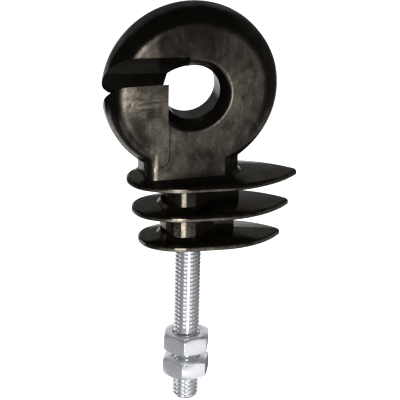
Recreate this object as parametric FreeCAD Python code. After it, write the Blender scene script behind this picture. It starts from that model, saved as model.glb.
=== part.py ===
import FreeCAD, Part
import math
import os

# A ring insulator for a fence wire, in millimetres: one moulded plastic body with an eye that is
# slit on one side, a neck and three drip discs, and a threaded stud moulded into it, with two nuts.
# +Z runs up the stud from its free end, +X points to the tips of the discs, Y runs through the eye.

# Stud and nuts
stud_diameter = 6.0
stud_end_chamfer = 0.7
stud_free_length = 39.5
stud_length_in_plastic = 22.0
nut_across_flats = 10.0
nut_height = 4.3
nut_chamfer_circle = 9.5
nut_chamfer_angle = 30.0
nut_countersink = 0.35
nut_thread_clearance = 0.05
nut_seats = {"lower_nut": 6.1, "upper_nut": 12.3}
nut_turns = {"lower_nut": 37.4, "upper_nut": 41.7}

# Eye ring, which stands a little to the slit side of the stud
eye_height = 77.5
eye_offset = -0.5
ring_outer_radius = 20.05
ring_half_thickness = 5.2
ring_rim_radius = 4.2

# The eye's bore: a short straight throat, a cone to each face and a rounded edge, set a little low
throat_radius = 6.4
throat_half_length = 2.6
throat_drop = 0.25
mouth_radius = 8.3
mouth_edge_radius = 1.2

# Slit through the left side of the ring: heights of the two jaws' ends half-way through the ring,
# the slopes in degrees at which they fall towards the back, in front of that and behind it, and the
# slope at which the upper one rises outwards
upper_jaw_height = 3.5
upper_jaw_slopes = (47.0, 52.0)
upper_jaw_rise = 2.9
lower_jaw_height = -2.3
lower_jaw_slopes = (45.0, 45.0)
slit_inner_end = 1.3

# Flat pads that fill out the ring's face beside the slit, below it in front and above it behind
front_pad_edge = 6.1
front_pad_bottom = 17.0
front_pad_corner = 2.3
back_pad_edge = 5.2
back_pad_top = 9.2
pad_rise = 0.15

# Neck between the ring and the top disc
neck_half_width = 11.0
neck_corner_radius = 2.6
neck_top = 9.5
facet_length = 3.7
facet_depth = 2.6
neck_end_bulge = 0.8

# Core between the discs, and the web on its tip side
core_half_thickness = 5.0
core_half_width = 6.2
core_facet_start = 0.8
web_half_thickness = 1.25
web_reach = (11.9, 10.9)

# Discs from the top down: depth of the rim under the eye, nose, tip and half width
disc_depth = (21.3, 28.6, 36.1)
disc_nose = (14.15, 12.85, 11.25)
disc_tip = (25.85, 24.1, 22.25)
disc_half_width = (8.1, 7.8, 7.4)
disc_nose_radius = 6.3
disc_tip_radius = 1.0
disc_straight = (-1.0, 7.0)
disc_rim_thickness = 1.4
disc_top_chamfer = 0.4
disc_bottom_chamfer = 0.25
disc_tilt = 1.7

# A disc's top rises from its rim to the neck or core that stands on it, with a cove round the foot
disc_rise = 0.6
foot_cove = 0.7

eye = FreeCAD.Vector(eye_offset, 0, eye_height)
y_axis = FreeCAD.Vector(0, 1, 0)
z_axis = FreeCAD.Vector(0, 0, 1)
centre = FreeCAD.Vector(0, 0, 0)
neck_facet_start = neck_half_width - facet_length


def point(x, y, z=0.0):
    return FreeCAD.Vector(x, y, z)


def line(start, end):
    return Part.LineSegment(start, end).toShape()


def arc(start, middle, end):
    return Part.Arc(start, middle, end).toShape()


def block(x_range, y_range, z_range):
    corner = point(x_range[0], y_range[0], z_range[0])
    return Part.makeBox(x_range[1] - x_range[0], y_range[1] - y_range[0], z_range[1] - z_range[0], corner)


def near(value, target):
    return math.isclose(value, target, abs_tol=0.01)


def prism(outline, z_low, z_high):
    solid = Part.Face(outline).extrude(point(0, 0, z_high - z_low))
    solid.translate(point(0, 0, z_low))
    return solid


def mirrored_outline(upper_edges):
    lower_edges = [edge.mirror(centre, y_axis) for edge in upper_edges]
    return Part.Wire(Part.__sortEdges__(upper_edges + lower_edges))


# Outline of a disc: a round nose on -X, straight sides, and flanks that close to a small tip on +X.
# Each flank is an arc that leaves the straight side and meets the end circle smoothly.
def leaf_outline(nose, tip, half_width, nose_radius, tip_radius, straight):
    edges = [line(point(straight[0], half_width), point(straight[1], half_width))]
    for end_x, end_radius, start_x, side in (
        (-nose, nose_radius, straight[0], -1),
        (tip, tip_radius, straight[1], 1),
    ):
        end_centre = end_x - side * end_radius
        reach = abs(end_centre - start_x)
        radius = (reach ** 2 + half_width ** 2 - end_radius ** 2) / (2 * (half_width - end_radius))
        angle = math.atan2(radius - half_width, reach)
        middle = (angle + math.pi / 2) / 2
        touch = point(end_centre + side * end_radius * math.cos(angle), end_radius * math.sin(angle))
        bulge = point(start_x + side * radius * math.cos(middle),
                      half_width - radius + radius * math.sin(middle))
        turn = point(end_centre + side * end_radius * math.cos(angle / 2),
                     end_radius * math.sin(angle / 2))
        edges.append(arc(point(start_x, half_width), bulge, touch))
        edges.append(arc(touch, turn, point(end_x, 0)))
    return mirrored_outline(edges)


# The ring before its bore is cut. With a rise its faces stand out further, and its rim
# rounding grows with them, so that they still run out smoothly at the same outer edge.
def ring_blank(rise=0.0):
    face, rounding = ring_half_thickness + rise, ring_rim_radius + rise
    middle = rounding * (1 - math.sqrt(0.5))
    section = Part.Wire([
        line(point(0, -face), point(ring_outer_radius - rounding, -face)),
        arc(point(ring_outer_radius - rounding, -face), point(ring_outer_radius - middle, middle - face),
            point(ring_outer_radius, rounding - face)),
        line(point(ring_outer_radius, rounding - face), point(ring_outer_radius, face - rounding)),
        arc(point(ring_outer_radius, face - rounding), point(ring_outer_radius - middle, face - middle),
            point(ring_outer_radius - rounding, face)),
        line(point(ring_outer_radius - rounding, face), point(0, face)),
        line(point(0, face), point(0, -face)),
    ])
    return Part.Face(section).revolve(centre, y_axis, 360)


def ring():
    face, half_length = ring_half_thickness, throat_half_length
    bore = Part.Face(Part.makePolygon([
        point(0, -face), point(mouth_radius, -face), point(throat_radius, -half_length),
        point(throat_radius, half_length), point(mouth_radius, face), point(0, face), point(0, -face),
    ])).revolve(centre, y_axis, 360)
    bore.translate(point(0, 0, -throat_drop))
    solid = ring_blank().cut(bore)
    mouths = [edge for edge in solid.Edges
              if isinstance(edge.Curve, Part.Circle) and near(edge.Curve.Radius, mouth_radius)]
    return solid.makeFillet(mouth_edge_radius, mouths)


def neck_outline(rise=0.0):
    half, thickness = neck_half_width, ring_half_thickness + rise
    corner = neck_corner_radius + rise
    middle = corner * (1 - math.sqrt(0.5))
    return mirrored_outline([
        line(point(-half, 0), point(-half, thickness - corner)),
        arc(point(-half, thickness - corner), point(middle - half, thickness - middle),
            point(corner - half, thickness)),
        line(point(corner - half, thickness), point(neck_facet_start, thickness)),
        line(point(neck_facet_start, thickness), point(half, thickness - facet_depth)),
        line(point(half, thickness - facet_depth), point(half + neck_end_bulge, 0)),
    ])


# The core's round nose is drawn in four arcs, which gives its outline as many edges as a disc's.
def core_outline():
    nose_centre = core_half_thickness - core_half_width

    def nose(eighths):
        angle = eighths * math.pi / 8
        return point(nose_centre - core_half_thickness * math.cos(angle),
                     core_half_thickness * math.sin(angle))

    return mirrored_outline([
        arc(nose(0), nose(1), nose(2)),
        arc(nose(2), nose(3), nose(4)),
        line(nose(4), point(core_facet_start, core_half_thickness)),
        line(point(core_facet_start, core_half_thickness), point(core_half_width, web_half_thickness)),
        line(point(core_half_width, web_half_thickness), point(core_half_width, 0)),
    ])


# A disc is a thin plate with chamfered edges. Its top is drawn up from the plate to the outline
# of what stands on it, wider by the cove, and the cove runs on a little way into that wall.
def disc(number, standing):
    def rim(inset):
        return leaf_outline(disc_nose[number] - inset, disc_tip[number] - inset,
                            disc_half_width[number] - inset, disc_nose_radius - inset,
                            disc_tip_radius - inset, disc_straight)

    plate = Part.Face(rim(0)).extrude(point(0, 0, -disc_rim_thickness))
    for height, chamfer in ((0, disc_top_chamfer), (-disc_rim_thickness, disc_bottom_chamfer)):
        edges = [edge for edge in plate.Edges
                 if near(edge.BoundBox.ZMin, height) and near(edge.BoundBox.ZMax, height)]
        plate = plate.makeChamfer(chamfer, edges)
    base = rim(disc_top_chamfer)
    for shape in (plate, base):
        shape.rotate(centre, y_axis, disc_tilt)
    outlines = [base]
    for margin in (foot_cove, -foot_cove / 2):
        outline = standing.makeOffset2D(margin, 2, False, False, False)
        outline.translate(point(0, 0, disc_rise + foot_cove - margin))
        outlines.append(outline)
    solid = plate.fuse(Part.makeLoft(outlines, True, True))
    solid.translate(point(0, 0, -disc_depth[number]))
    return solid


# Heights of a jaw's end at the front, half-way through and at the back.
def jaw_end(middle_height, slopes):
    front_rise, back_fall = [2 * ring_half_thickness * math.tan(math.radians(slope)) for slope in slopes]
    return [middle_height + front_rise, middle_height, middle_height - back_fall]


# A block along X between two folded planes, each given by its three heights.
def block_between(upper_heights, lower_heights, x_low, x_high):
    depths = (-2 * ring_half_thickness, 0, 2 * ring_half_thickness)
    corners = [point(x_low, depth, height) for depth, height in zip(depths, upper_heights)]
    corners += [point(x_low, depth, height) for depth, height in zip(depths, lower_heights)][::-1]
    return Part.Face(Part.makePolygon(corners + corners[:1])).extrude(point(x_high - x_low, 0, 0))


# The ring and neck, with the flat pads beside the slit: there the plain ring gives way to one
# that is a little thicker and has no bore.
def ring_and_neck():
    far = 2 * ring_outer_radius
    upper_jaw = jaw_end(upper_jaw_height, upper_jaw_slopes)
    lower_jaw = jaw_end(lower_jaw_height, lower_jaw_slopes)
    slit_middle = [(upper + lower) / 2 for upper, lower in zip(upper_jaw, lower_jaw)]

    front = block((-far, -front_pad_edge), (-far, 0), (-front_pad_bottom, far))
    corner = [edge for edge in front.Edges
              if near(edge.CenterOfMass.x, -front_pad_edge)
              and near(edge.CenterOfMass.z, -front_pad_bottom)]
    front = front.makeFillet(front_pad_corner, corner)
    front = front.common(block_between(slit_middle, [-far] * 3, -far, 0))
    back = block((-far, -back_pad_edge), (0, far), (-far, back_pad_top))
    back = back.common(block_between([far] * 3, slit_middle, -far, 0))

    plain = ring().fuse(prism(neck_outline(), -disc_depth[0], -neck_top))
    raised = ring_blank(pad_rise).fuse(prism(neck_outline(pad_rise), -disc_depth[0], -neck_top))
    solid = plain.cut([front, back]).fuse([raised.common(front), ring_blank(pad_rise).common(back)])
    above_slit = block_between([far] * 3, upper_jaw, -2 * far, far)
    above_slit.rotate(point(0, 0, upper_jaw_height), y_axis, upper_jaw_rise)
    slit = block_between([far] * 3, lower_jaw, -far, -slit_inner_end).cut(above_slit)
    return solid.cut(slit)


# The core with its web, and the three discs.
def stack():
    solid = prism(core_outline(), stud_free_length - eye_height, -disc_depth[0])
    for number, reach in enumerate(web_reach):
        web_top = -disc_depth[number] - disc_rim_thickness / 2
        solid = solid.fuse(block((0, reach), (-web_half_thickness, web_half_thickness),
                                 (-disc_depth[number + 1], web_top)))
    for number, standing in enumerate((neck_outline(), core_outline(), core_outline())):
        solid = solid.fuse(disc(number, standing))
    return solid


def insulator_body():
    body = stack().fuse(ring_and_neck())
    body.translate(eye)
    return body.cut(stud())


# The stud has the thread's outer diameter all along, and both its ends are chamfered.
def stud():
    length = stud_free_length + stud_length_in_plastic
    rod = Part.makeCylinder(stud_diameter / 2, length)
    return rod.makeChamfer(stud_end_chamfer, [edge for edge in rod.Edges if edge.Closed])


def nut(name):
    corner_radius = nut_across_flats / math.sqrt(3)
    corners = []
    for number in range(7):
        angle = math.radians(60 * number + 30 + nut_turns[name])
        corners.append(point(corner_radius * math.cos(angle), corner_radius * math.sin(angle)))
    hexagon = Part.Face(Part.makePolygon(corners)).extrude(point(0, 0, nut_height))
    drop = (corner_radius - nut_chamfer_circle / 2) * math.tan(math.radians(nut_chamfer_angle))
    profile = Part.makePolygon([
        point(0, 0, 0), point(nut_chamfer_circle / 2, 0, 0), point(corner_radius, 0, drop),
        point(corner_radius, 0, nut_height - drop), point(nut_chamfer_circle / 2, 0, nut_height),
        point(0, 0, nut_height), point(0, 0, 0),
    ])
    solid = hexagon.common(Part.Face(profile).revolve(centre, z_axis, 360))
    bore_radius = stud_diameter / 2 + nut_thread_clearance
    solid = solid.cut(Part.makeCylinder(bore_radius, nut_height))
    for seat, direction in ((0, 1), (nut_height, -1)):
        solid = solid.cut(Part.makeCone(bore_radius + nut_countersink, bore_radius, nut_countersink,
                                        point(0, 0, seat), z_axis * direction))
    solid.translate(point(0, 0, nut_seats[name]))
    return solid


os.makedirs("parts", exist_ok=True)
pieces = {"insulator_body": insulator_body(), "stud": stud()}
for name in nut_seats:
    pieces[name] = nut(name)
for name, shape in pieces.items():
    print(name, "valid", shape.isValid(), "solids", len(shape.Solids), "volume", round(shape.Volume, 1))
    shape.exportStep("parts/" + name + ".step")
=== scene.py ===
import math
import bpy
from mathutils import Matrix, Vector


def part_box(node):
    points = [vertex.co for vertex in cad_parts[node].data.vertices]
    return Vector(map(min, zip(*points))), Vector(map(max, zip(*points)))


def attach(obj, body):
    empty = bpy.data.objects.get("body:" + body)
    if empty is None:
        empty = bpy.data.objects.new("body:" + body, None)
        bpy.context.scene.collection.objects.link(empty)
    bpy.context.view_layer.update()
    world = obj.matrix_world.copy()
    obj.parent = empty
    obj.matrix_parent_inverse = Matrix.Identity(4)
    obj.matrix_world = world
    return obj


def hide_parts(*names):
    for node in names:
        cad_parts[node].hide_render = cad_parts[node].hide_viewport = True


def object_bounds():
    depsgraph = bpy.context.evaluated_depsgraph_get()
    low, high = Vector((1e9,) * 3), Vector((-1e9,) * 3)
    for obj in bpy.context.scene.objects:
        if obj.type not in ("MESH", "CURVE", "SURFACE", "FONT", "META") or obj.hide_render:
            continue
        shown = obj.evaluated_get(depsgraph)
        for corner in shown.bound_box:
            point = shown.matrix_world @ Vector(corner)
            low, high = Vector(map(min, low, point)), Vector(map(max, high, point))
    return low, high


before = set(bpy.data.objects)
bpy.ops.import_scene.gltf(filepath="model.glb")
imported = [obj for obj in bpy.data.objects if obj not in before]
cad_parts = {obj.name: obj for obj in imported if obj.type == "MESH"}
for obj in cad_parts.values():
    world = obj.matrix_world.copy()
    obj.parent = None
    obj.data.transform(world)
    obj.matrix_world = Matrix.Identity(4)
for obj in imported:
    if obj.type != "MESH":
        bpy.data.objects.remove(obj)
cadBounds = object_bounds()
mm = 0.001  # everything in the scene is in metres, sizes below are in millimetres
print("frame loaded:", ", ".join(sorted(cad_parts)))


# Small helpers for modelling with operators

def deselectAll():
    if bpy.context.object and bpy.context.object.mode != "OBJECT":
        bpy.ops.object.mode_set(mode="OBJECT")
    bpy.ops.object.select_all(action="DESELECT")


def makeActive(piece):
    deselectAll()
    piece.select_set(True)
    bpy.context.view_layer.objects.active = piece


def editMesh(piece, selectAll=False):
    makeActive(piece)
    bpy.ops.object.mode_set(mode="EDIT")
    bpy.ops.mesh.select_mode(type="VERT")
    bpy.ops.mesh.select_all(action="SELECT" if selectAll else "DESELECT")


def leaveEdit():
    bpy.ops.object.mode_set(mode="OBJECT")


def applyModifier(piece, kind, **values):
    makeActive(piece)
    modifier = piece.modifiers.new(kind.lower(), kind)
    for name, value in values.items():
        setattr(modifier, name, value)
    bpy.ops.object.modifier_apply(modifier=modifier.name)


def removePiece(piece):
    mesh = piece.data
    bpy.data.objects.remove(piece)
    bpy.data.meshes.remove(mesh)


def cutWith(piece, tool, operation):
    applyModifier(piece, "BOOLEAN", operation=operation, object=tool, solver="EXACT")
    removePiece(tool)


def smoothEdges(piece, degrees):
    makeActive(piece)
    bpy.ops.object.shade_smooth_by_angle(angle=math.radians(degrees))


def turnedSolid(name, rings, segments):
    # A turned solid: a disc is extruded up from ring to ring, each ring a (radius, height) in mm.
    firstRadius, firstHeight = rings[0]
    deselectAll()
    bpy.ops.mesh.primitive_circle_add(vertices=segments, radius=firstRadius * mm, fill_type="NGON",
                                      location=(0, 0, firstHeight * mm))
    piece = bpy.context.object
    piece.name = name
    bpy.ops.object.transform_apply(location=True, rotation=True, scale=True)
    editMesh(piece, selectAll=True)
    for (lowRadius, lowHeight), (radius, height) in zip(rings, rings[1:]):
        bpy.ops.mesh.extrude_region_move(
            TRANSFORM_OT_translate={"value": (0, 0, (height - lowHeight) * mm)})
        if radius != lowRadius:
            grow = radius / lowRadius
            bpy.ops.transform.resize(value=(grow, grow, 1), center_override=(0, 0, height * mm))
    bpy.ops.mesh.select_all(action="SELECT")
    bpy.ops.mesh.normals_make_consistent(inside=False)
    leaveEdit()
    return piece


# Shader node helpers

def addNode(tree, kind, values=None, **settings):
    node = tree.nodes.new(kind)
    for name, value in settings.items():
        setattr(node, name, value)
    for socket, value in (values or {}).items():
        node.inputs[socket].default_value = value
    return node


def feed(tree, node, values):
    # Each value is a number or vector, set on the socket, or another node's output, linked to it.
    for socket, value in values.items():
        if isinstance(value, (int, float, tuple)):
            node.inputs[socket].default_value = value
        else:
            tree.links.new(value, node.inputs[socket])


def mathNode(tree, operation, *values):
    node = addNode(tree, "ShaderNodeMath", operation=operation)
    feed(tree, node, dict(enumerate(values)))
    return node.outputs[0]


def vectorNode(tree, operation, *values, output=0):
    node = addNode(tree, "ShaderNodeVectorMath", operation=operation)
    feed(tree, node, dict(enumerate(values)))
    return node.outputs[output]


def blend(tree, share, first, second):
    node = addNode(tree, "ShaderNodeMix", data_type="FLOAT")
    feed(tree, node, {0: share, 2: first, 3: second})
    return node.outputs[0]


def mapRange(tree, value, fromLow, fromHigh, toLow, toHigh, way="LINEAR"):
    node = addNode(tree, "ShaderNodeMapRange", {1: fromLow, 2: fromHigh, 3: toLow, 4: toHigh},
                   interpolation_type=way)
    tree.links.new(value, node.inputs[0])
    return node.outputs[0]


def spreadNoise(tree, noise, least, most):
    # Nearly all of a noise texture's values lie between 0.3 and 0.7.
    return mapRange(tree, noise, 0.3, 0.7, least, most)


def seenShare(tree):
    # 1 where the camera, a reflection or a clear material looks, and 0 where light is gathered
    paths = addNode(tree, "ShaderNodeLightPath")
    seen = paths.outputs["Is Camera Ray"]
    for kind in ("Is Glossy Ray", "Is Transmission Ray"):
        seen = mathNode(tree, "MAXIMUM", seen, paths.outputs[kind])
    return seen


def newMaterial(name, colour, roughness, metallic=0.0, specular=0.5):
    material = bpy.data.materials.new(name)
    material.use_nodes = True
    shader = material.node_tree.nodes["Principled BSDF"]
    shader.inputs["Base Color"].default_value = (*colour, 1)
    shader.inputs["Roughness"].default_value = roughness
    shader.inputs["Metallic"].default_value = metallic
    shader.inputs["Specular IOR Level"].default_value = specular
    return material, material.node_tree, shader


def giveMaterial(piece, material):
    piece.data.materials.clear()
    piece.data.materials.append(material)


def newGroup(name, inputs, outputs):
    # A shader node group, with its sockets given as name: kind.
    group = bpy.data.node_groups.new(name, "ShaderNodeTree")
    for sockets, way in ((inputs, "INPUT"), (outputs, "OUTPUT")):
        for socket, kind in sockets.items():
            group.interface.new_socket(socket, in_out=way, socket_type="NodeSocket" + kind)
    return group, addNode(group, "NodeGroupInput"), addNode(group, "NodeGroupOutput")


# Fine grain, which the plastic and the zinc share: a small noise as height, and a broad one as tone
def makeGrainGroup():
    group, inside, outside = newGroup(
        "fineGrain", {"Fine Scale": "Float", "Broad Scale": "Float", "Broad Share": "Float"},
        {"Height": "Float", "Tone": "Float"})
    place = addNode(group, "ShaderNodeTexCoord")
    fine = addNode(group, "ShaderNodeTexNoise", {"Detail": 3.0, "Roughness": 0.6})
    broad = addNode(group, "ShaderNodeTexNoise", {"Detail": 4.0, "Roughness": 0.5})
    for noise, scale in ((fine, "Fine Scale"), (broad, "Broad Scale")):
        group.links.new(place.outputs["Object"], noise.inputs["Vector"])
        group.links.new(inside.outputs[scale], noise.inputs["Scale"])
    share = mathNode(group, "MULTIPLY", broad.outputs["Fac"], inside.outputs["Broad Share"])
    group.links.new(mathNode(group, "ADD", fine.outputs["Fac"], share), outside.inputs["Height"])
    group.links.new(broad.outputs["Fac"], outside.inputs["Tone"])
    return group


# A soft patch at a place on the object: 1 in the inner quarter of its reach, 0 beyond it
def makePatchGroup():
    group, inside, outside = newGroup("softPatch", {"Centre": "Vector", "Reach": "Vector"},
                                      {"Share": "Float"})
    place = addNode(group, "ShaderNodeTexCoord")
    offset = vectorNode(group, "SUBTRACT", place.outputs["Object"], inside.outputs["Centre"])
    share = vectorNode(group, "DIVIDE", offset, inside.outputs["Reach"])
    away = vectorNode(group, "LENGTH", share, output=1)
    group.links.new(mapRange(group, away, 0.25, 1.0, 1.0, 0.0, "SMOOTHSTEP"), outside.inputs["Share"])
    return group


# Flow marks: a noise along stretched and swirled coordinates
def makeFlowGroup():
    group, inside, outside = newGroup("flowMarks", {"Stretch": "Vector", "Swirl": "Float"},
                                      {"Mark": "Float"})
    place = addNode(group, "ShaderNodeTexCoord")
    stretched = vectorNode(group, "MULTIPLY", place.outputs["Object"], inside.outputs["Stretch"])
    noise = addNode(group, "ShaderNodeTexNoise", {"Scale": 1.0, "Detail": 3.0, "Roughness": 0.55})
    group.links.new(stretched, noise.inputs["Vector"])
    group.links.new(inside.outputs["Swirl"], noise.inputs["Distortion"])
    group.links.new(noise.outputs["Fac"], outside.inputs["Mark"])
    return group


def useGroup(tree, group, values):
    return addNode(tree, "ShaderNodeGroup", values, node_tree=group)


def placeGrain(tree, look):
    return useGroup(tree, grainGroup, {
        "Fine Scale": look["fineScale"],
        "Broad Scale": look["broadScale"],
        "Broad Share": look["broadShare"],
    })


def placePatch(tree, centre, reach):
    patch = useGroup(tree, patchGroup, {
        "Centre": tuple(value * mm for value in centre),
        "Reach": tuple(value * mm for value in reach),
    })
    return patch.outputs["Share"]


def bumpNode(tree, shader, height, distance):
    bump = addNode(tree, "ShaderNodeBump", {"Strength": 1.0, "Distance": distance * mm})
    tree.links.new(height, bump.inputs["Height"])
    tree.links.new(bump.outputs["Normal"], shader.inputs["Normal"])


grainGroup = makeGrainGroup()
patchGroup = makePatchGroup()
flowGroup = makeFlowGroup()


# Plastic: black and half glossy, with matt flat faces, glossier discs and worn disc rims, with painted
# sheen: painted highlights and painted shade in patches, and a stronger reflection on the discs than on
# the ring
plasticLook = {
    "colour": (0.0022, 0.0019, 0.0013),
    "faceRoughness": (0.28, 0.40),
    "rimRoughness": (0.17, 0.25),
    "faceDepth": (4.85, 5.15),  # distance from the middle at which a rim turns into a face
    "discRoughness": (0.10, 0.15),
    "discTop": (56.8, 57.8),  # height at which the discs' finish turns into the ring's
    "wornRims": (40.45, 47.95, 55.25),  # heights of the rims' bands, which drop towards the tips
    "rimSlope": 0.03,
    "wornHalfHeight": (0.2, 0.28),  # fully worn, and where it ends
    "wornRoughness": 0.34,
    # painted sheen: the discs are given a stronger reflection than the ring, though both are one plastic
    "ringPaintedSheen": 0.62,
    "discPaintedSheen": 1.15,
    "specularTint": (1.0, 0.88, 0.72, 1.0),
    "fineScale": 1500.0,
    "broadScale": 120.0,
    "broadShare": 0.5,
    "bump": 0.02,
    # marks as (stretch), swirl, (least and most shine), and the patch they are limited to, if any
    "marks": [
        ((230.0, 230.0, 170.0), 1.4, (0.48, 1.60), None),
        ((900.0, 900.0, 220.0), 0.2, (0.80, 1.20), None),
        ((1900.0, 1900.0, 1900.0), 0.0, (0.72, 1.28), None),
        ((60.0, 60.0, 3000.0), 0.0, (0.35, 1.65), ((-10.5, -5.3, 75.4), (4.6, 2.0, 3.4))),
        ((900.0, 900.0, 900.0), 0.6, (0.30, 2.10), ((-14.4, -5.3, 76.5), (4.6, 5.0, 5.5))),
    ],
    # painted highlights and painted shade as (centre x, y, z), (reach x, y, z) and how much more or less
    # they make the plastic reflect: above 0 a painted highlight, below 0 painted shade
    "paintedSheenPatches": [
        ((-2.0, -5.0, 94.0), (19.0, 9.0, 14.0), -0.75),
        ((2.0, -5.0, 59.0), (11.0, 9.0, 10.0), -0.50),
        ((-10.6, -5.3, 73.6), (2.0, 3.0, 2.6), -0.65),
        ((-12.9, -5.3, 71.0), (2.4, 3.0, 3.0), -0.40),
        ((-14.0, -5.0, 72.4), (3.2, 5.0, 3.4), -0.45),
        ((-13.6, -4.8, 67.4), (4.4, 5.0, 4.4), -0.60),
        ((-11.5, -5.0, 88.6), (3.4, 5.0, 3.6), 0.90),
        ((-15.8, -4.5, 78.3), (3.2, 5.0, 5.5), 1.10),
        ((9.8, -5.2, 76.0), (6.5, 3.0, 9.0), 0.25),
        ((8.3, -5.2, 76.3), (3.2, 3.0, 7.5), 0.70),
        ((1.5, -5.2, 56.9), (14.0, 3.0, 2.8), -0.60),
        ((-0.5, 0.0, 71.3), (6.0, 3.2, 2.5), 1.20),
        ((-9.6, -5.0, 59.3), (1.3, 2.5, 3.6), 2.20),
        ((-9.8, -5.3, 64.0), (1.7, 2.0, 3.8), 0.70),
        ((-10.5, -3.0, 80.5), (9.5, 8.0, 2.6), -0.50),
    ],
}


def makePlastic():
    look = plasticLook
    material, tree, shader = newMaterial("blackPlastic", look["colour"], look["rimRoughness"][0],
                                         specular=look["ringPaintedSheen"])
    shader.inputs["Specular Tint"].default_value = look["specularTint"]
    grain = placeGrain(tree, look)
    place = addNode(tree, "ShaderNodeTexCoord")
    apart = addNode(tree, "ShaderNodeSeparateXYZ")
    tree.links.new(place.outputs["Object"], apart.inputs[0])
    # strength of the reflection: the flow marks vary it at random, and the patches below paint highlights
    # and shade into it
    flowMarksAndPaintedSheen = 1.0
    for stretch, swirl, (least, most), patch in look["marks"]:
        flow = useGroup(tree, flowGroup, {"Stretch": stretch, "Swirl": swirl})
        share = spreadNoise(tree, flow.outputs["Mark"], least, most)
        if patch:
            share = blend(tree, placePatch(tree, *patch), 1.0, share)
        flowMarksAndPaintedSheen = mathNode(tree, "MULTIPLY", flowMarksAndPaintedSheen, share)
    # painted highlights and painted shade: each patch raises or lowers the strength of the reflection
    # where it lies
    for centre, reach, change in look["paintedSheenPatches"]:
        share = mapRange(tree, placePatch(tree, centre, reach), 0.0, 1.0, 1.0, 1.0 + change)
        flowMarksAndPaintedSheen = mathNode(tree, "MULTIPLY", flowMarksAndPaintedSheen, share)
    low, high = look["discTop"]
    onDiscs = mapRange(tree, apart.outputs["Z"], low * mm, high * mm, 1.0, 0.0)
    # painted sheen: the discs reflect more strongly than the ring
    level = mapRange(tree, onDiscs, 0.0, 1.0, look["ringPaintedSheen"], look["discPaintedSheen"])
    tree.links.new(mathNode(tree, "MULTIPLY", flowMarksAndPaintedSheen, level), shader.inputs["Specular IOR Level"])
    faces, rims, discs = (spreadNoise(tree, grain.outputs["Tone"], *look[name])
                          for name in ("faceRoughness", "rimRoughness", "discRoughness"))
    low, high = look["faceDepth"]
    onFaces = mapRange(tree, mathNode(tree, "ABSOLUTE", apart.outputs["Y"]), low * mm, high * mm, 0.0, 1.0)
    rough = blend(tree, onDiscs, blend(tree, onFaces, rims, faces), discs)
    along = mathNode(tree, "MULTIPLY_ADD", apart.outputs["X"], look["rimSlope"], apart.outputs["Z"])
    low, high = look["wornHalfHeight"]
    for middle in look["wornRims"]:
        away = mathNode(tree, "ABSOLUTE", mathNode(tree, "SUBTRACT", along, middle * mm))
        worn = mapRange(tree, away, low * mm, high * mm, 1.0, 0.0)
        rough = blend(tree, worn, rough, look["wornRoughness"])
    tree.links.new(rough, shader.inputs["Roughness"])
    bumpNode(tree, shader, grain.outputs["Height"], look["bump"])
    return material


# Zinc: bright plating, smoother on the rolled thread than on the nuts
zincLook = {
    "colour": (0.78, 0.79, 0.83),
    "metallic": 0.80,
    "roughness": (0.22, 0.33),
    "threadRoughness": (0.09, 0.16),
    "threadRadius": (3.03, 3.07),  # distance from the axis at which the thread's finish ends
    "fineScale": 1800.0,
    "broadScale": 260.0,
    "broadShare": 0.8,
    "bump": 0.012,
}


def makeZinc():
    look = zincLook
    material, tree, shader = newMaterial("brightZinc", look["colour"], look["roughness"][0],
                                         metallic=look["metallic"])
    grain = placeGrain(tree, look)
    place = addNode(tree, "ShaderNodeTexCoord")
    across = vectorNode(tree, "MULTIPLY", place.outputs["Object"], (1.0, 1.0, 0.0))
    away = vectorNode(tree, "LENGTH", across, output=1)
    low, high = look["threadRadius"]
    onNuts = mapRange(tree, away, low * mm, high * mm, 0.0, 1.0)
    thread = spreadNoise(tree, grain.outputs["Tone"], *look["threadRoughness"])
    faces = spreadNoise(tree, grain.outputs["Tone"], *look["roughness"])
    tree.links.new(blend(tree, onNuts, thread, faces), shader.inputs["Roughness"])
    bumpNode(tree, shader, grain.outputs["Height"], look["bump"])
    return material


plastic = makePlastic()
zinc = makeZinc()
print("materials ready")


# A fine groove where the raised pad meets the neck: a round tube swept along the pad's outline
grooveSettings = {
    "radius": 0.13,
    "surface": -5.2,
    "edge": -6.1,
    "start": 72.0,
    "bottom": 60.5,
    "corner": 2.3,
    "cornerSteps": 6,
    "end": -10.6,
    "joinDistance": 0.001,
}


def cutGroove(piece):
    settings = grooveSettings
    edge, bottom, corner = settings["edge"], settings["bottom"], settings["corner"]
    path = [(edge, settings["start"]), (edge, bottom + corner)]
    for step in range(1, settings["cornerSteps"] + 1):
        turn = math.pi / 2 * step / settings["cornerSteps"]
        path.append((edge - corner + corner * math.cos(turn), bottom + corner - corner * math.sin(turn)))
    path.append((settings["end"], bottom))
    deselectAll()
    bpy.ops.mesh.primitive_plane_add(size=mm, location=(path[0][0] * mm, settings["surface"] * mm,
                                                        path[0][1] * mm))
    tube = bpy.context.object
    bpy.ops.object.transform_apply(location=True, rotation=True, scale=True)
    editMesh(tube, selectAll=True)
    bpy.ops.mesh.merge(type="CENTER")
    for (x, z), (nextX, nextZ) in zip(path, path[1:]):
        bpy.ops.mesh.extrude_region_move(
            TRANSFORM_OT_translate={"value": ((nextX - x) * mm, 0, (nextZ - z) * mm)})
    leaveEdit()
    bpy.ops.object.convert(target="CURVE")
    tube.data.bevel_depth = settings["radius"] * mm
    tube.data.bevel_resolution = 2
    tube.data.use_fill_caps = True
    bpy.ops.object.convert(target="MESH")
    editMesh(tube, selectAll=True)
    bpy.ops.mesh.remove_doubles(threshold=settings["joinDistance"] * mm)
    bpy.ops.mesh.normals_make_consistent(inside=False)
    leaveEdit()
    cutWith(piece, tube, "DIFFERENCE")


# Body: the moulding's own surface, joined up so that it shades smoothly
bodySettings = {
    "joinDistance": 0.001,
    "smoothAngle": 30.0,
}


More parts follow.
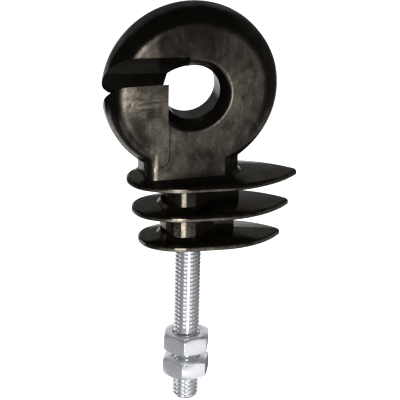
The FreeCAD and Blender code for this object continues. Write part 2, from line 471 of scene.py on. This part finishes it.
def makeBody():
    settings = bodySettings
    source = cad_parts["insulator_body"]
    piece = bpy.data.objects.new("insulatorBody", source.data.copy())
    bpy.context.collection.objects.link(piece)
    editMesh(piece, selectAll=True)
    bpy.ops.mesh.customdata_custom_splitnormals_clear()
    bpy.ops.mesh.remove_doubles(threshold=settings["joinDistance"] * mm)
    leaveEdit()
    cutGroove(piece)
    smoothEdges(piece, settings["smoothAngle"])
    applyModifier(piece, "WEIGHTED_NORMAL", mode="FACE_AREA_WITH_ANGLE", keep_sharp=True)
    giveMaterial(piece, plastic)
    return piece


body = makeBody()
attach(body, "root")
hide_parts("insulator_body")
print("body ready:", len(body.data.polygons), "faces")


# Stud: a metric thread, right-handed, rolled along the whole rod
studSettings = {
    "pitch": 1.0,
    "crestFlat": 0.13,
    "rootFlat": 0.22,
    "threadDepth": 0.61,
    "flankRounding": 0.05,
    "stepsPerTurn": 48,
    "spareTurns": 4,  # cut off again, half of them below the stud
    "endChamfer": 0.7,
    "blankAllowance": 0.1,
    "roundSegments": 96,
    "smoothAngle": 40.0,
}


def makeStud():
    settings = studSettings
    low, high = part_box("stud")
    radius, length = high.x / mm, high.z / mm
    pitch, crest, root = settings["pitch"], settings["crestFlat"], settings["rootFlat"]
    depth, soft = settings["threadDepth"], settings["flankRounding"]
    flank = (pitch - crest - root) / 2
    lift = soft * flank / depth
    spare, allowance = settings["spareTurns"], settings["blankAllowance"]
    # steps up along the thread's section over one pitch, as (outwards, up)
    steps = [
        (soft, lift),
        (depth - 2 * soft, flank - 2 * lift),
        (soft, lift + crest * 0.2),
        (0.0, crest * 0.6),
        (-soft, lift + crest * 0.2),
        (2 * soft - depth, flank - 2 * lift),
        (-soft, lift),
        (0.0, root),
    ]
    deselectAll()
    bpy.ops.mesh.primitive_plane_add(size=mm, location=((radius - depth) * mm, 0, -spare / 2 * pitch * mm))
    stud = bpy.context.object
    stud.name = "threadedStud"
    bpy.ops.object.transform_apply(location=True, rotation=True, scale=True)
    editMesh(stud, selectAll=True)
    bpy.ops.mesh.merge(type="CENTER")
    for outwards, up in steps:
        bpy.ops.mesh.extrude_region_move(TRANSFORM_OT_translate={"value": (outwards * mm, 0, up * mm)})
    leaveEdit()
    turns = math.ceil(length / pitch) + spare
    applyModifier(stud, "SCREW", angle=2 * math.pi, screw_offset=pitch * mm, iterations=turns,
                  steps=settings["stepsPerTurn"], render_steps=settings["stepsPerTurn"], axis="Z",
                  use_merge_vertices=True, merge_threshold=0.001 * mm, use_normal_calculate=True)
    editMesh(stud, selectAll=True)
    bpy.ops.mesh.remove_doubles(threshold=0.002 * mm)
    for height, side in ((-pitch / 2, -1), (length + pitch / 2, 1)):
        bpy.ops.mesh.select_all(action="SELECT")
        bpy.ops.mesh.bisect(plane_co=(0, 0, height * mm), plane_no=(0, 0, side), use_fill=True,
                            clear_outer=True)
    bpy.ops.mesh.select_all(action="SELECT")
    bpy.ops.mesh.normals_make_consistent(inside=False)
    leaveEdit()
    chamfer = settings["endChamfer"]
    wide, deep = radius + allowance, chamfer + allowance
    blank = turnedSolid("studBlank", [
        (radius - chamfer, 0), (radius, chamfer), (wide, deep),
        (wide, length - deep), (radius, length - chamfer), (radius - chamfer, length),
    ], settings["roundSegments"])
    cutWith(stud, blank, "INTERSECT")
    smoothEdges(stud, settings["smoothAngle"])
    giveMaterial(stud, zinc)
    return stud


stud = makeStud()
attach(stud, "root")
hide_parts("stud")
print("stud ready:", len(stud.data.polygons), "faces")


# Nuts: a hexagon chamfered on both faces, with a countersunk hole
nutSettings = {
    "acrossFlats": 10.0,
    "faceDiameter": 9.5,
    "chamferAngle": 30.0,
    "holeRadius": 3.05,
    "countersink": 0.35,
    "edgeRounding": 0.10,
    "roundedFrom": 20.0,  # edges sharper than this many degrees are rounded
    "roundingSteps": 3,
    "smoothAngle": 30.0,
    "lensSegments": 144,
    "holeSegments": 96,
    "drillPast": 1.0,  # the drill reaches this far past both faces
    "turns": {"lower_nut": 37.4, "upper_nut": 41.7},
}


def makeNut(node, name):
    settings = nutSettings
    low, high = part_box(node)
    seat, height = low.z / mm, (high.z - low.z) / mm
    corner = settings["acrossFlats"] / math.sqrt(3)
    face = settings["faceDiameter"] / 2
    drop = (corner - face) * math.tan(math.radians(settings["chamferAngle"]))
    wide = corner + 0.01  # just clears the hexagon's corners
    deselectAll()
    bpy.ops.mesh.primitive_cylinder_add(vertices=6, radius=corner * mm, depth=height * mm,
                                        location=(0, 0, (seat + height / 2) * mm),
                                        rotation=(0, 0, math.radians(settings["turns"][node])))
    nut = bpy.context.object
    nut.name = name
    bpy.ops.object.transform_apply(location=True, rotation=True, scale=True)
    lens = turnedSolid("nutLens", [
        (face, seat), (wide, seat + drop), (wide, seat + height - drop), (face, seat + height),
    ], settings["lensSegments"])
    cutWith(nut, lens, "INTERSECT")
    hole, sink, past = settings["holeRadius"], settings["countersink"], settings["drillPast"]
    drill = turnedSolid("nutDrill", [
        (hole + sink + past, seat - past), (hole, seat + sink), (hole, seat + height - sink),
        (hole + sink + past, seat + height + past),
    ], settings["holeSegments"])
    cutWith(nut, drill, "DIFFERENCE")
    applyModifier(nut, "BEVEL", width=settings["edgeRounding"] * mm, segments=settings["roundingSteps"],
                  limit_method="ANGLE", angle_limit=math.radians(settings["roundedFrom"]),
                  use_clamp_overlap=True)
    smoothEdges(nut, settings["smoothAngle"])
    giveMaterial(nut, zinc)
    return nut


for node, name in (("lower_nut", "lowerNut"), ("upper_nut", "upperNut")):
    nut = makeNut(node, name)
    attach(nut, "root")
    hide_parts(node)
    print(name, "ready:", len(nut.data.polygons), "faces")


# Floor: pale, and white where the camera or a reflection sees it
floorSettings = {
    "size": 8000.0,
    "height": -620.0,
    "colour": (0.8, 0.8, 0.8),
    "diffuseShare": 0.16,  # how much of its white comes from the light on it, with the shadow in it
}


def makeFloor():
    settings = floorSettings
    deselectAll()
    bpy.ops.mesh.primitive_plane_add(size=settings["size"] * mm, location=(0, 0, settings["height"] * mm))
    floor = bpy.context.object
    floor.name = "floor"
    material, tree, shader = newMaterial("paleFloor", settings["colour"], 1.0, specular=0.0)
    glow = addNode(tree, "ShaderNodeEmission", {"Color": (1, 1, 1, 1)})
    strength = mathNode(tree, "MULTIPLY", seenShare(tree), 1 - settings["diffuseShare"])
    tree.links.new(strength, glow.inputs["Strength"])
    both = addNode(tree, "ShaderNodeAddShader")
    tree.links.new(shader.outputs[0], both.inputs[0])
    tree.links.new(glow.outputs[0], both.inputs[1])
    tree.links.new(both.outputs[0], tree.nodes["Material Output"].inputs["Surface"])
    giveMaterial(floor, material)


makeFloor()


# World: white where it is seen, a soft even light on the object
worldSettings = {
    "lightStrength": 1.00,
    "seenStrength": 1.0,
}


def makeWorld():
    settings = worldSettings
    world = bpy.data.worlds.new("studio")
    bpy.context.scene.world = world
    world.use_nodes = True
    tree = world.node_tree
    background = tree.nodes["Background"]
    background.inputs["Color"].default_value = (1, 1, 1, 1)
    strength = blend(tree, seenShare(tree), settings["lightStrength"], settings["seenStrength"])
    tree.links.new(strength, background.inputs["Strength"])


makeWorld()


# Lamps and cards stand round the object, each given as
# (azimuth, height in degrees, distance, width, length, brightness where white is 1)
lampSettings = {
    "window": (-4.0, -22.0, 450.0, 150.0, 150.0, 8.4),
    "upperWindow": (-6.0, -2.0, 450.0, 150.0, 170.0, 7.5),
}
# Cards glow at their brightness and show only in reflections, as painted reflections: the dark ones keep
# the white surroundings out of the black plastic's reflections
cardSettings = {
    "frontCard": (0.0, 0.0, 520.0, 1700.0, 1100.0, 0.02),
    "leftCard": (-108.0, 0.0, 500.0, 1300.0, 1100.0, 0.02),
    "rightCard": (115.0, 0.0, 500.0, 1500.0, 1100.0, 0.09),
    "backCard": (180.0, 35.0, 500.0, 1100.0, 500.0, 0.15),
    "topCard": (0.0, 90.0, 450.0, 1300.0, 1300.0, 0.02),
    "tableCard": (0.0, -90.0, 200.0, 700.0, 700.0, 0.01),
    # bright glowing cards near the nuts: painted reflections, which only the stud and the nuts mirror
    "frontGlowCard": (26.0, -40.0, 142.0, 90.0, 70.0, 1.05),
    "rightGlowCard": (84.0, -45.0, 125.0, 110.0, 110.0, 0.40),
    "leftFrontGlowCard": (-40.0, -40.0, 142.0, 66.0, 70.0, 1.50),
    "leftGlowCard": (-88.0, -45.0, 125.0, 70.0, 110.0, 0.12),
    "farLeftGlowCard": (-122.0, -45.0, 125.0, 100.0, 110.0, 1.50),
    "backGlowCard": (165.0, -11.0, 71.0, 120.0, 45.0, 0.90),
}


def standAround(azimuth, height, distance):
    # Place and turn of something that stands round the object and faces it.
    around, up = math.radians(azimuth), math.radians(height)
    back = Vector((math.sin(around) * math.cos(up), -math.cos(around) * math.cos(up), math.sin(up)))
    middle = (cadBounds[0] + cadBounds[1]) / 2
    return {"location": middle + back * distance * mm, "rotation": (math.pi / 2 - up, 0, around)}


def makeLamps():
    for name, (azimuth, height, distance, width, length, brightness) in lampSettings.items():
        deselectAll()
        bpy.ops.object.light_add(type="AREA", **standAround(azimuth, height, distance))
        lamp = bpy.context.object
        lamp.name = name
        lamp.data.shape = "RECTANGLE"
        lamp.data.size = width * mm
        lamp.data.size_y = length * mm
        lamp.data.energy = brightness * math.pi * width * mm * length * mm  # so bright whatever its size


def makeCards():
    for name, (azimuth, height, distance, width, length, brightness) in cardSettings.items():
        deselectAll()
        bpy.ops.mesh.primitive_plane_add(size=1, **standAround(azimuth, height, distance))
        card = bpy.context.object
        card.name = name
        card.scale = (width * mm, length * mm, 1)
        # each card's glow is a painted reflection: it lights nothing and casts no shadow
        material, tree, shader = newMaterial(name + "ReflectionGlow", (0, 0, 0), 1.0, specular=0.0)
        shader.inputs["Emission Color"].default_value = (1, 1, 1, 1)
        shader.inputs["Emission Strength"].default_value = brightness
        giveMaterial(card, material)
        card.visible_camera = False
        card.visible_diffuse = False
        card.visible_shadow = False


makeLamps()
makeCards()


# Camera: the photograph's, fitted to the discs, the eye and the stud
cameraSettings = {
    "azimuth": -15.0,
    "elevation": 23.4,
    "roll": 1.36,
    "distance": 650.0,
    "focalPixels": 2892.0,
    "imagePixels": 400.0,
    "eye": (-0.5, 0.0, 77.5),
    "eyePixel": (189.5, 86.9),
    "sensorWidth": 36.0,
}


def makeCamera():
    settings = cameraSettings
    turn = (Matrix.Rotation(math.radians(settings["azimuth"]), 3, "Z")
            @ Matrix.Rotation(math.radians(90 - settings["elevation"]), 3, "X")
            @ Matrix.Rotation(math.radians(settings["roll"]), 3, "Z"))
    middle, focal = settings["imagePixels"] / 2, settings["focalPixels"]
    column, row = settings["eyePixel"]
    perPixel = settings["distance"] / focal
    offset = Vector(((middle - column) * perPixel, (row - middle) * perPixel, settings["distance"]))
    place = (Vector(settings["eye"]) + turn @ offset) * mm
    deselectAll()
    bpy.ops.object.camera_add(location=place, rotation=turn.to_euler())
    camera = bpy.context.object
    camera.data.sensor_width = settings["sensorWidth"]
    camera.data.lens = focal / settings["imagePixels"] * settings["sensorWidth"]
    camera.data.clip_start = 0.01
    camera.data.clip_end = 50.0
    camera.data.dof.use_dof = False
    bpy.context.scene.camera = camera


makeCamera()
bpy.context.scene.view_settings.view_transform = "Standard"
print("floor, world, lamps and camera ready")
